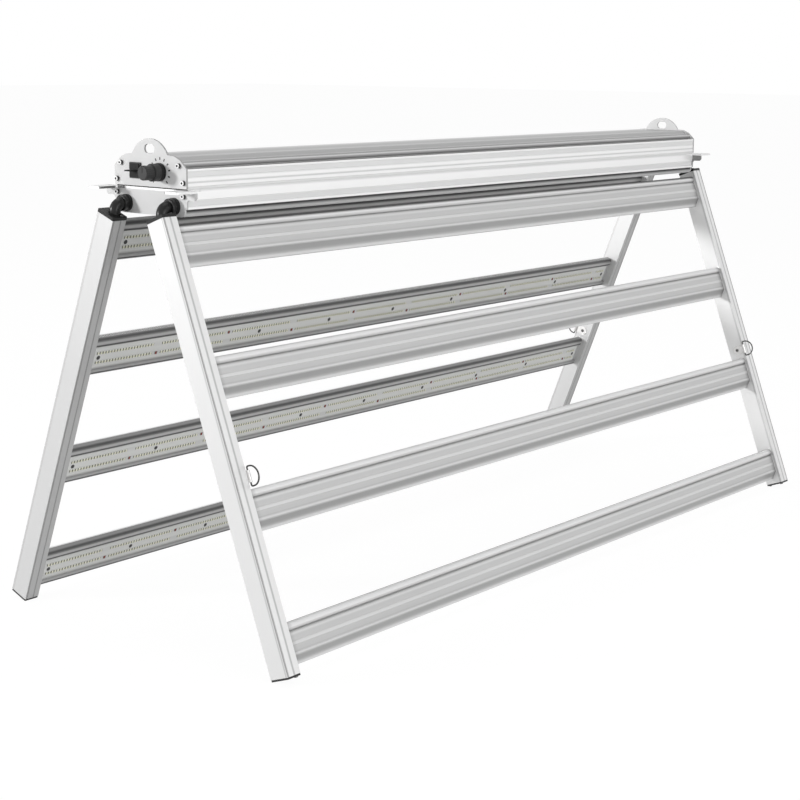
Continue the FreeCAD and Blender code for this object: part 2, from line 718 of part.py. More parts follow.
def hinge_elbow():
    """Hollow elbow: spigot in the hub, collar, bent pipe, and the cap on the rail's top."""
    collar_start = -end_plate_face - hub_flange_thickness - collar_face_gap
    bend_start = collar_start - collar_length
    foot_x = -end_plate_face - pipe_to_plate
    bend_radius = bend_start - foot_x
    cap_top = rail_to_pivot - cap_thickness
    centre = Vector(bend_start, pipe_offset, -bend_radius)
    slant = math.radians(pipe_slant)

    def pipe(radius, beyond):
        torus = Part.makeTorus(bend_radius, radius, centre, Vector(0, 1, 0))
        keep = Part.makeBox(bend_radius + radius + 1, 2 * radius + 2, bend_radius + radius + 1,
                            Vector(bend_start - bend_radius - radius - 1, pipe_offset - radius - 1, -bend_radius))
        drop = (rail_to_pivot - neck_end) / math.cos(slant) - bend_radius + beyond
        neck = Part.makeCylinder(radius, drop, Vector(foot_x, pipe_offset, -bend_radius - drop))
        bent = torus.common(keep).fuse(neck)
        bent.rotate(Vector(0, pipe_offset, 0), Vector(1, 0, 0), pipe_slant)
        return bent

    collar = x_cylinder(collar_radius, bend_start, collar_start)
    rim = [edge for edge in collar.Edges if len(edge.Vertexes) == 1 and edge.CenterOfMass.x < bend_start + 0.1]
    collar = collar.makeFillet(1.2, rim)
    spigot_end = clip_from() + clip_thickness + spigot_tip
    spigot = x_cylinder(spigot_radius, collar_start, spigot_end)
    half_x = rail_width / 2 + cap_overhang
    cap = wing_block(-rail_mid_x - half_x, -rail_mid_x + half_x, cap_top, rail_to_pivot,
                     -rail_inner_to_pivot - cap_overhang, rail_outer_h + cap_overhang)
    uprights = [edge for edge in cap.Edges if abs(edge.tangentAt(edge.FirstParameter).z) > 0.9]
    cap = cap.makeFillet(1.5, uprights)
    elbow = collar.fuse([pipe(pipe_radius, 0.0), cap, spigot])
    elbow = elbow.cut(pipe(pipe_bore, 2 * neck_end + pipe_bore))
    elbow = elbow.cut(x_cylinder(spigot_bore, bend_start - pipe_bore / 2, spigot_end + 1))
    groove = x_cylinder(spigot_radius + 1, clip_from(), clip_from() + clip_thickness)
    elbow = elbow.cut(groove.cut(x_cylinder(spigot_radius - clip_groove, clip_from() - 1, spigot_end)))
    for x, h in cap_screw_places():
        elbow = elbow.cut(Part.makeCylinder(small_shank_radius, cap_thickness + 2,
                                            wing_point(x, rail_to_pivot + 1, h)))
    return one_solid(elbow)


def hinge_clip():
    """Spring clip in the spigot's groove, open on its lower side."""
    start = clip_from()
    ring = x_cylinder(clip_radius, start, start + clip_thickness)
    ring = ring.cut(x_cylinder(spigot_radius - clip_groove, start - 1, start + clip_thickness + 1))
    mouth = Part.makeBox(clip_thickness + 2, 2.4, clip_radius + 1, Vector(start - 1, -1.2, -clip_radius - 1))
    return ring.cut(mouth).Solids[0]


def cap_screw_places():
    """The two screws of a rail's end, as (x, h)."""
    return [(-cap_screw_x, cap_screw_inset - rail_inner_to_pivot), (-cap_screw_x, rail_outer_h - cap_screw_inset)]


# ---------------------------------------------------------------- rails
def rail_channel():
    """Inner part of the rail: a channel open towards the rail's outer side."""
    low = -rail_inner_to_pivot
    outer = wing_block(-rail_joint_x + lap_gap / 2, -rail_inner_x, rail_to_pivot, rail_bottom, low, rail_outer_h)
    hollow = wing_block(-rail_joint_x - 1, -rail_inner_x - rail_wall, rail_to_pivot - 1, rail_bottom + 1,
                        low + rail_wall, rail_outer_h - rail_wall)
    rail = outer.cut(hollow)
    for x, h in cap_screw_places():
        foot = wing_point(x, rail_bottom, h)
        rail = rail.fuse(Part.makeCylinder(rail_port_radius, rail_length, foot))
        rail = rail.cut(Part.makeCylinder(small_shank_radius, rail_length, foot))
    crossing = [(rail_to_pivot + ring_from_rail_top, rail_outer_h - strap_screw_from_face)]
    for t, h in crossing + bar_screw_places():
        rail = rail.cut(x_cylinder(small_shank_radius, -rail_inner_x - rail_wall - 1, -rail_inner_x + 1, -h, -t))
    return one_solid(rail)


def rail_cover():
    """Outer part of the rail: a cover whose lips snap inside the channel."""
    low = -rail_inner_to_pivot
    high = rail_outer_h
    inset = rail_wall + lap_gap
    shell = wing_block(-rail_outer_x, -rail_joint_x - lap_gap / 2, rail_to_pivot, rail_bottom, low, high)
    lips = wing_block(-rail_outer_x + rail_wall, -rail_joint_x + rail_lap, rail_to_pivot, rail_bottom,
                      low + inset, high - inset)
    hollow = wing_block(-rail_outer_x + rail_wall, -rail_joint_x + rail_lap + 1, rail_to_pivot - 1,
                        rail_bottom + 1, low + inset + rail_wall, high - inset - rail_wall)
    cover = shell.fuse(lips).cut(hollow)
    groove_x = -rail_outer_x + corner_groove_at
    for h in (low, high):
        cover = cover.cut(wing_block(groove_x - shadow_groove / 2, groove_x + shadow_groove / 2,
                                     rail_to_pivot - 1, rail_bottom + 1,
                                     h - shadow_groove, h + shadow_groove))
    return one_solid(cover)


def foot_cap():
    """Thin black plate screwed under the rail, with its edges eased."""
    cap = wing_block(-rail_outer_x, -rail_inner_x, rail_bottom, foot_bottom, -rail_inner_to_pivot, rail_outer_h)
    uprights = [edge for edge in cap.Edges if abs(edge.tangentAt(edge.FirstParameter).z) > 0.9]
    cap = cap.makeFillet(1.0, uprights)
    for x, h in cap_screw_places():
        cap = cap.cut(Part.makeCylinder(small_shank_radius, foot_thickness + 2, wing_point(x, foot_bottom + 1, h)))
    return cap.Solids[0]


# ---------------------------------------------------------------- light bars
def bar_top(index):
    return rail_to_pivot + bar_first + index * bar_pitch


def bar_ports(index):
    """The two screw ports in a bar's end, as (t, h)."""
    base = bar_inner - rail_inner_to_pivot
    in_bead = (bar_top(index) + bead_radius, base + bar_depth - bead_radius)
    return [in_bead, (bar_top(index) + bar_width - rim_port[0], base + rim_port[1])]


def bar_screw_places():
    """Every bar screw of one wing's end, as (t, h)."""
    return [place for index in range(bars_per_wing) for place in bar_ports(index)]


def heat_sink(index):
    """Bar extrusion: rolled top edge, stepped outer panel, sloped lower rim, hollow inside."""
    top = bar_top(index)
    base = bar_inner - rail_inner_to_pivot
    crown = base + bar_depth
    panel = crown - panel_drop
    bead = 2 * bead_radius
    bottom = top + bar_width
    ridge_mid = top + bead + (bar_width - bead - lower_bevel - lower_lip) / 2
    rib_end = bottom - lower_bevel - lower_lip
    board_top = top + board_from_top
    board_bottom = board_top + board_width
    seat = base + board_thickness + 0.8
    outline = [(top, base + 2.4, 1.5), (top, crown, bead_radius), (top + bead, crown, bead_radius - 0.2),
               (top + bead, panel - 1.2), (top + bead + 1.0, panel - 1.2), (top + bead + 1.0, panel),
               (ridge_mid - panel_ridge / 2 - 0.6, panel),
               (ridge_mid - panel_ridge / 2, panel + panel_ridge_height),
               (ridge_mid + panel_ridge / 2, panel + panel_ridge_height),
               (ridge_mid + panel_ridge / 2 + 0.6, panel),
               (rib_end - 3.6, panel), (rib_end - 3.6, panel - panel_groove), (rib_end - 3.0, panel - panel_groove),
               (rib_end - 3.0, panel + 0.3), (rib_end, panel + 0.3, 0.6),
               (bottom - lower_lip, base + 5.6), (bottom - 1.0, base + 4.6, 0.8), (bottom, base + 3.6, 0.6),
               (bottom, base + 0.6, 0.5), (bottom - 1.6, base), (bottom - 1.6, base + 1.2),
               (bottom - 2.6, base + 1.2), (bottom - 2.6, base), (board_bottom + 1.0, base + 0.4),
               (board_bottom + 0.1, base + 0.8), (board_bottom + 0.1, seat), (board_top - 0.1, seat),
               (board_top - 0.1, base + 0.8), (board_top - inner_slot_to_board, base + 0.8),
               (board_top - inner_slot_to_board, base + inner_slot_depth),
               (board_top - inner_slot_to_board - inner_slot, base + inner_slot_depth),
               (board_top - inner_slot_to_board - inner_slot, base), (top + inner_lip_curve, base, 1.2)]
    sink = wing_bar(outline, -bar_half_length, bar_half_length)
    cavity = [(top + bead + 1.0 + bar_wall, seat + bar_wall, 0.6), (rib_end - 1.0, seat + bar_wall, 0.6),
              (rib_end - 3.6, panel - panel_groove - bar_wall, 0.6),
              (top + bead + 1.0 + bar_wall, panel - bar_wall, 0.6)]
    sink = sink.cut(wing_bar(cavity, -bar_half_length - 1, bar_half_length + 1))
    for t, h in bar_ports(index):
        sink = sink.cut(x_cylinder(small_shank_radius, -bar_half_length - 1, bar_half_length + 1, -h, -t))
    return sink.Solids[0]


def led_board(index):
    """Circuit board in the bar's recess, with its flat screw heads."""
    top = bar_top(index) + board_from_top
    base = bar_inner - rail_inner_to_pivot
    outer = base + board_thickness + 0.8
    length = bar_half_length - board_margin
    board = wing_block(-length, length, top, top + board_width, outer - board_thickness, outer)
    span = 2 * (length - board_screw_margin)
    for number in range(board_screw_count):
        x = -length + board_screw_margin + span * number / (board_screw_count - 1)
        middle = wing_point(x, top + board_width / 2, outer - board_thickness)
        board = board.fuse(Part.makeCylinder(board_screw_radius, board_screw_height, middle, Vector(0, 1, 0)))
    return one_solid(board)


# ---------------------------------------------------------------- rings and straps
def ring_axis():
    """Axis of the near ring as (x, h) on the hanging wing."""
    curl_radius = ring_wire_radius + running_gap + strap_thickness
    return -rail_inner_x + curl_radius, rail_outer_h + ring_axis_above_face


def ring_strap():
    """Strip screwed to the rail's inner side and curled round the ring's straight side."""
    axis_x, axis_h = ring_axis()
    middle = rail_to_pivot + ring_from_rail_top
    half = strap_width / 2
    low = middle - half
    flat_end = rail_outer_h - strap_reach + half
    flat = wing_block(-rail_inner_x, -rail_inner_x + strap_thickness, low, low + strap_width, flat_end, axis_h)
    tip = x_cylinder(half, -rail_inner_x, -rail_inner_x + strap_thickness, -flat_end, -middle)
    curl = Part.makeCylinder(ring_wire_radius + running_gap + strap_thickness, strap_width,
                             wing_point(axis_x, low + strap_width, axis_h))
    strap = flat.fuse([tip, curl])
    strap = strap.cut(Part.makeCylinder(ring_wire_radius + running_gap, strap_width + 2,
                                        wing_point(axis_x, low + strap_width + 1, axis_h)))
    hole_h = rail_outer_h - strap_screw_from_face
    strap = strap.cut(x_cylinder(small_shank_radius, -rail_inner_x - 1, -rail_inner_x + 2, -hole_h, -middle))
    return one_solid(strap)


def hanging_ring():
    """D-shaped wire ring: straight side in the curl, round side standing outward."""
    axis_x, axis_h = ring_axis()
    middle = rail_to_pivot + ring_from_rail_top
    half = ring_width / 2
    bend = ring_bend_radius
    straight = ring_reach - half

    def at(t, h):
        return wing_point(axis_x, middle + t, axis_h + h)

    corner = bend * (1 - math.sqrt(0.5))
    edges = [Part.makeLine(at(-half + bend, 0), at(half - bend, 0)),
             Part.Arc(at(half - bend, 0), at(half - corner, corner), at(half, bend)).toShape(),
             Part.makeLine(at(half, bend), at(half, straight)),
             Part.Arc(at(half, straight), at(0, straight + half), at(-half, straight)).toShape(),
             Part.makeLine(at(-half, straight), at(-half, bend)),
             Part.Arc(at(-half, bend), at(-half + corner, corner), at(-half + bend, 0)).toShape()]
    path = Part.Wire(edges)
    start = edges[0].valueAt(edges[0].FirstParameter)
    section = []
    for side in range(ring_wire_sides + 1):
        angle = 2 * math.pi * (side + 0.5) / ring_wire_sides
        section.append(start + Vector(math.cos(angle), math.sin(angle), 0) * ring_wire_radius)
    return path.makePipeShell([Part.makePolygon(section)], True, False).Solids[0]


# ---------------------------------------------------------------- wing fasteners
def wing_screws():
    """Small screws of one wing: rail caps, feet, straps and bars."""
    near = []
    for x, h in cap_screw_places():
        near.append(small_screw(wing_point(x, rail_to_pivot - cap_thickness, h), Vector(0, 0, 1)))
        near.append(small_screw(wing_point(x, foot_bottom, h), Vector(0, 0, -1)))
    for t, h in bar_screw_places():
        near.append(small_screw(wing_point(-rail_inner_x - rail_wall, t, h), Vector(-1, 0, 0)))
    strap_h = rail_outer_h - strap_screw_from_face
    strap_t = rail_to_pivot + ring_from_rail_top
    near.append(small_screw(wing_point(-rail_inner_x + strap_thickness, strap_t, strap_h), Vector(1, 0, 0)))
    return near + [far_copy(screw) for screw in near]


for wing_name, wing_side in (("front", -1), ("back", 1)):
    for end_name, end_side in (("near", -1), ("far", 1)):
        for piece_name, draw in (("hinge_elbow", hinge_elbow), ("rail", rail_channel),
                                 ("rail_cover", rail_cover), ("hanging_ring", hanging_ring)):
            piece = draw() if end_side < 0 else far_copy(draw())
            save("{}_{}_{}".format(wing_name, piece_name, end_name), placed(piece, wing_side))
    for number in range(bars_per_wing):
        save("{}_heat_sink_{}".format(wing_name, number + 1), placed(heat_sink(number), wing_side))
        save("{}_led_board_{}".format(wing_name, number + 1), placed(led_board(number), wing_side))
    for group_name, pieces in (("hinge_clips", [hinge_clip(), far_copy(hinge_clip())]),
                               ("foot_caps", [foot_cap(), far_copy(foot_cap())]),
                               ("ring_straps", [ring_strap(), far_copy(ring_strap())]),
                               ("screws", wing_screws())):
        save("{}_{}".format(wing_name, group_name), [placed(piece, wing_side) for piece in pieces])
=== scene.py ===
import json
import math
import bpy
from mathutils import Matrix, Vector


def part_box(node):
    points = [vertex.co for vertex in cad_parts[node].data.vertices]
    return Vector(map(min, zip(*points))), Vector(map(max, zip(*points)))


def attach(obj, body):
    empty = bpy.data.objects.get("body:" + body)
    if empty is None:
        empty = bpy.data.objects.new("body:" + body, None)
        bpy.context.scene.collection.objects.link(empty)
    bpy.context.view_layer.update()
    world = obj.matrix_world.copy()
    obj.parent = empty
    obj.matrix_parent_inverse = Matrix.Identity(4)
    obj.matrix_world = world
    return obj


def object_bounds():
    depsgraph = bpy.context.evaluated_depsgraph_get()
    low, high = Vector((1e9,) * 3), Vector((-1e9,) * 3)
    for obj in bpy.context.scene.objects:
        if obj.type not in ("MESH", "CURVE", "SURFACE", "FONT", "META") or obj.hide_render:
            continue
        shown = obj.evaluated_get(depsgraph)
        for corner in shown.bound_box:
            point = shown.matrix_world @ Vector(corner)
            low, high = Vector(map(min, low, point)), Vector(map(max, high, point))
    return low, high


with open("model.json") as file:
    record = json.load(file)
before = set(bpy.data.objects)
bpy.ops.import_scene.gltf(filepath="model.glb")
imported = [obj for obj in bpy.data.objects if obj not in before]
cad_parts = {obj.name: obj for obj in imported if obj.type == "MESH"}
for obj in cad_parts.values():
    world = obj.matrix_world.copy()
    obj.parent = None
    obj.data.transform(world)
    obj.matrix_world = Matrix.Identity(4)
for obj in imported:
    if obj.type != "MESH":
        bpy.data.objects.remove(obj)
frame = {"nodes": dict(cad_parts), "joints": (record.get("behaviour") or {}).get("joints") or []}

cad_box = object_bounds()
nodes = frame["nodes"]
bpy.context.scene.view_settings.view_transform = "Standard"


# ---- Camera ----
# Stands in front of the dimmer end, a little above the housing, and looks along
# the housing so that one end plate and the long front side both show.
camera_data = bpy.data.cameras.new("camera")
camera_data.sensor_width = 36.0
camera_data.lens = 75.32
camera = bpy.data.objects.new("camera", camera_data)
bpy.context.scene.collection.objects.link(camera)
camera_place = Vector((-1.7247, -1.3414, 0.6296))
camera_yaw = math.radians(39.58)
camera_dip = math.radians(11.48)
camera_roll = math.radians(0.48)
sight = Vector((math.cos(camera_yaw) * math.cos(camera_dip),
                math.sin(camera_yaw) * math.cos(camera_dip), -math.sin(camera_dip)))
level = Vector((math.sin(camera_yaw), -math.cos(camera_yaw), 0.0))
upright = level.cross(sight)
rolled = level * math.cos(camera_roll) + upright * math.sin(camera_roll)
top = rolled.cross(sight)
turn = Matrix((rolled, top, -sight)).transposed().to_4x4()
camera.matrix_world = Matrix.Translation(camera_place) @ turn
bpy.context.scene.camera = camera


# ---- Housing extrusions ----
# Two long aluminium extrusions screwed together between the end plates.  They are
# satin anodised, with fine die lines running their whole length.
class Tap:
    """A socket of a material's node tree.  Arithmetic on it adds Math nodes."""

    def __init__(self, tree, socket=None):
        self.tree = tree
        self.socket = socket

    def make(self, kind, sockets=None, settings=None, out=0):
        """A new node: its settings first, then values or links by socket."""
        node = self.tree.nodes.new(kind)
        for name, value in (settings or {}).items():
            setattr(node, name, value)
        for name, value in (sockets or {}).items():
            if isinstance(value, Tap):
                self.tree.links.new(value.socket, node.inputs[name])
            else:
                node.inputs[name].default_value = value
        return Tap(self.tree, node.outputs[out])

    def math(self, operation, first, second):
        """A Math node; one that takes a single value leaves the second alone."""
        return self.make("ShaderNodeMath", {0: first, 1: second}, {"operation": operation})

    def __add__(self, other):
        return self.math("ADD", self, other)

    __radd__ = __add__

    def __sub__(self, other):
        return self.math("SUBTRACT", self, other)

    def __rsub__(self, other):
        return self.math("SUBTRACT", other, self)

    def __mul__(self, other):
        return self.math("MULTIPLY", self, other)

    __rmul__ = __mul__

    def over(self, other):
        """1 where this is the greater, otherwise 0."""
        return self.math("GREATER_THAN", self, other)

    def place(self, scale=(1.0, 1.0, 1.0), tilt=0.0):
        """Object coordinates, turned about X by tilt and then stretched."""
        spot = self.make("ShaderNodeTexCoord", out=3)
        return self.make("ShaderNodeMapping", {"Vector": spot, "Scale": scale, "Rotation": (tilt, 0.0, 0.0)})

    def grain(self, size, scale=(1.0, 1.0, 1.0), tilt=0.0, detail=3.0):
        """Noise from 0 to 1, size in lumps per metre."""
        where = self.place(scale, tilt)
        return self.make("ShaderNodeTexNoise", {"Vector": where, "Scale": size, "Detail": detail})

    def blend(self, mask, low, high):
        """A colour between low and high by the mask."""
        return self.make("ShaderNodeMix", {"Factor": mask, "A": low, "B": high},
                         {"data_type": "RGBA"}, out=2)

    def tint(self, colour, other):
        """One colour multiplied by another."""
        return self.make("ShaderNodeMix", {"Factor": 1.0, "A": colour, "B": other},
                         {"data_type": "RGBA", "blend_type": "MULTIPLY"}, out=2)

    def relief(self, height, depth, strength=1.0):
        """A normal that rises and falls with a height from 0 to 1."""
        return self.make("ShaderNodeBump", {"Height": height, "Distance": depth, "Strength": strength})

    def reach(self, way, start=(0.0, 0.0, 0.0), kind=3):
        """How far the surface (kind 3) or its normal (kind 1) reaches along a way, from a start."""
        spot = self.make("ShaderNodeTexCoord", out=kind)
        along = self.make("ShaderNodeVectorMath", {0: spot, 1: way}, {"operation": "DOT_PRODUCT"}, out=1)
        return along - Vector(way).dot(Vector(start))

    def endways(self, kind=3):
        """How far along the housing from its middle, towards either end; kind as in reach."""
        return self.math("ABSOLUTE", self.reach((1.0, 0.0, 0.0), kind=kind), 0.0)

    def tone(self, reach, stops):
        """A grey that follows a reach through stops, each one a reach in millimetres and a shade."""
        first, last = stops[0][0], stops[-1][0]
        ramp = self.make("ShaderNodeValToRGB", {0: (reach * 1000.0 - first) * (1.0 / (last - first))})
        elements = ramp.socket.node.color_ramp.elements
        elements[0].color = grey(stops[0][1])
        elements[1].color = grey(stops[-1][1])
        for place, shade in stops[1:-1]:
            elements.new((place - first) / (last - first)).color = grey(shade)
        return ramp


def grey(shade, warm=0.0):
    """A grey, or a slightly warm one."""
    return (shade * (1 + warm), shade, shade * (1 - warm), 1.0)


def open_finish(name):
    """A new material, a tap into its tree and its shader."""
    material = bpy.data.materials.new(name)
    material.use_nodes = True
    tree = material.node_tree
    return material, Tap(tree), tree.nodes["Principled BSDF"]


def join(tap, shader, name):
    tap.tree.links.new(tap.socket, shader.inputs[name])


def satin_extrusion(name, shade=1.0, tilt=0.0, along=0, bands=None):
    """Satin anodised aluminium: die lines along one axis, and bands of painted shade and painted reflection
    that follow the profile.
    """
    material, tap, shader = open_finish(name)
    stretch = [1.0, 1.0, 1.0]
    stretch[along] = 0.012
    lines = tap.grain(900.0, stretch, tilt, 4.0)
    cloud = tap.grain(9.0)
    streaks = lines * 0.5 + cloud * 0.5
    colour = tap.blend(streaks, grey(shade * 0.96), grey(shade * 1.03))
    # The bands are painted shade, painted highlights and painted reflection, multiplied into the colour.
    if bands:
        colour = tap.tint(colour, bands(tap))
    join(colour, shader, "Base Color")
    join(lines * 0.10 + cloud * 0.06 + 0.30, shader, "Roughness")
    join(tap.relief(lines, 0.00004, 0.5), shader, "Normal")
    shader.inputs["Metallic"].default_value = 0.35
    return material


def dress(material, *names):
    """Gives CAD nodes their finish."""
    for name in names:
        mesh = nodes[name].data
        mesh.materials.clear()
        mesh.materials.append(material)


hinge_at = {joint["child"]: joint["pos_m"] for joint in frame["joints"]}
hinge_height = hinge_at["front_wing"][2]


def lower_housing_painted_shade(tap):
    """Painted shade and painted highlights from the lower bead's underside up the plain side wall."""
    return tap.tone(tap.reach((0.0, 0.0, 1.0), (0.0, 0.0, hinge_height)), (
        (-11.0, 0.62), (-10.0, 0.76), (-8.0, 0.48), (-6.0, 0.20), (-5.0, 0.10), (-4.0, 0.09), (-3.0, 0.42),
        (-2.0, 0.95), (0.0, 0.82), (1.0, 0.70), (6.0, 0.70), (7.2, 0.88), (8.0, 0.93), (15.2, 0.93),
        (16.4, 0.80), (17.4, 0.70)))


def upper_housing_painted_light(tap):
    """Painted shade and painted highlights up the stepped side wall and round the upper bead, then painted
    shade and painted reflection across the deck, lighter towards the far side.
    """
    side = tap.tone(tap.reach((0.0, 0.0, 1.0), (0.0, 0.0, hinge_height)), (
        (15.0, 0.93), (16.2, 0.84), (17.2, 0.70), (20.3, 0.71), (22.0, 0.93), (24.2, 0.90), (25.0, 0.62),
        (26.2, 0.82), (27.2, 0.94), (29.2, 0.94), (31.0, 0.74), (36.2, 0.74), (38.4, 0.96), (39.2, 0.90),
        (40.0, 0.40), (41.5, 0.18), (43.0, 0.26), (45.0, 0.62), (46.2, 0.80), (47.5, 0.42)))
    deck = tap.tone(tap.reach((0.0, 1.0, 0.0)), (
        (-50.0, 0.34), (-47.0, 0.29), (-45.0, 0.22), (-43.0, 0.20), (-41.5, 0.45), (-34.0, 0.43),
        (-25.0, 0.36), (-14.0, 0.30), (0.0, 0.32), (12.0, 0.37), (20.0, 0.48), (30.0, 0.66), (41.0, 0.66),
        (43.0, 0.40), (50.0, 0.50)))
    wall = tap.blend(tap.reach((0.0, 0.0, 1.0), kind=1).over(0.72), side, deck)
    # The sawn end faces, seen only in the gap between the plates, are painted near black as shade.
    sawn_end_in_painted_shade = tap.endways(kind=1).over(0.7)
    return tap.blend(sawn_end_in_painted_shade, wall, grey(0.04))


dress(satin_extrusion("upper_housing_satin", bands=upper_housing_painted_light), "upper_housing")
dress(satin_extrusion("lower_housing_satin", bands=lower_housing_painted_shade), "lower_housing")


# ---- End plates and stop plates ----
# Laser-cut and powder-coated sheets that close the housing, with a hanging ear at
# each end; the thin stop plates are clamped between the two extrusions.
def silver_coat(name, shade, painted_edge_shade, painted_inner_shade):
    """Fine powder coat with a slight orange peel; cut edges and faces turned into the housing are painted
    darker as shade.
    """
    material, tap, shader = open_finish(name)
    peel = tap.grain(1400.0, detail=2.0)
    cloud = tap.grain(14.0)
    coat = tap.blend(peel * 0.6 + cloud * 0.4, grey(shade * 0.97), grey(shade * 1.02))
    # Painted shade: cut edges take one grey, faces turned into the housing another.
    flat = tap.endways(kind=1).over(0.5)
    turned_out = (tap.reach((1.0, 0.0, 0.0)) * tap.reach((1.0, 0.0, 0.0), kind=1)).over(0.0)
    sides = tap.blend(turned_out, grey(painted_inner_shade), coat)
    join(tap.blend(flat, grey(painted_edge_shade), sides), shader, "Base Color")
    join(peel * 0.12 + 0.42, shader, "Roughness")
    join(tap.relief(peel, 0.00005, 0.4), shader, "Normal")
    shader.inputs["Specular IOR Level"].default_value = 0.3
    return material


dress(silver_coat("plate_coat", 0.80, 0.40, 0.78), "control_end_plate", "plain_end_plate")
# The lower plates get a much darker painted shade on their inward faces than the upper ones.
dress(silver_coat("lower_plate_coat", 0.80, 0.50, 0.24), "lower_end_plate_near", "lower_end_plate_far")


plate_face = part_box("plain_end_plate")[1][0]


def tongue_bands(tap):
    """Light outside, in shadow where a surface faces the light's middle or lies in the gap."""
    turned_in = tap.reach((0.0, 1.0, 0.0)) * tap.reach((0.0, 1.0, 0.0), kind=1)
    clear_of_gap = tap.endways().over(plate_face)
    upward = tap.reach((0.0, 0.0, 1.0), kind=1).over(0.5)
    lit = tap.blend(upward * (1.0 - clear_of_gap), grey(0.85), grey(0.04))
    return tap.blend(turned_in.over(-0.002), grey(0.15), lit)


dress(satin_extrusion("stop_plate_satin", along=1, bands=tongue_bands), "stop_plate_near", "stop_plate_far")


# ---- Dimmer and control socket ----
# A potentiometer behind the plate, nutted through it, turned by a moulded knob.  The
# square socket beside it takes a controller's plug and wears a rubber dust plug.
def black_moulding(name, shade, rough, grain_size, depth):
    """Black rubber, plastic or coated metal with a fine moulded grain."""
    material, tap, shader = open_finish(name)
    fine = tap.grain(grain_size, detail=2.0)
    wear = tap.grain(120.0)
    join(tap.blend(wear, grey(shade * 0.8), grey(shade * 1.3)), shader, "Base Color")
    join(fine * 0.14 + (rough - 0.07), shader, "Roughness")
    join(tap.relief(fine, depth, 0.6), shader, "Normal")
    shader.inputs["Specular IOR Level"].default_value = 0.3
    return material


black_rubber = black_moulding("black_rubber", 0.012, 0.72, 1500.0, 0.0001)
black_plastic = black_moulding("black_plastic", 0.026, 0.42, 1800.0, 0.00006)
black_oxide = black_moulding("black_oxide", 0.006, 0.36, 2500.0, 0.00003)
dress(black_rubber, "control_socket_plug")
dress(black_plastic, "dimmer_knob", "control_socket")
dress(black_oxide, "dimmer_nut")


def plated_steel(name, shade, rough):
    """Zinc-plated steel with a slightly uneven bright finish."""
    material, tap, shader = open_finish(name)
    cloud = tap.grain(260.0)
    join(tap.blend(cloud, grey(shade * 0.85, 0.01), grey(shade * 1.1, 0.01)), shader, "Base Color")
    join(cloud * 0.14 + (rough - 0.07), shader, "Roughness")
    shader.inputs["Metallic"].default_value = 0.9
    return material


zinc = plated_steel("zinc", 0.55, 0.32)
dress(zinc, "dimmer_potentiometer", "dimmer_shaft")


# ---- End plate screws ----
# Socket-head screws that hold the end plates on the extrusions: their faces and edges
# carry a painted highlight, the knurled sides and the sockets painted shade.
def screw_highlight_and_shade():
    """Painted highlight where the head faces out of the plate, painted shade down its sides and socket."""
    material, tap, shader = open_finish("screw_highlight_and_shade")
    head_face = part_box("end_plate_screws")[1][0]
    face = tap.endways(kind=1).over(0.7) * tap.endways().over(head_face - 0.0005)
    knurl = tap.grain(2600.0)
    join(tap.blend(face, tap.blend(knurl, grey(0.02), grey(0.06)), grey(0.80)), shader, "Base Color")
    join(knurl * 0.15 + 0.25, shader, "Roughness")
    shader.inputs["Metallic"].default_value = 0.5
    return material


dress(screw_highlight_and_shade(), "end_plate_screws")


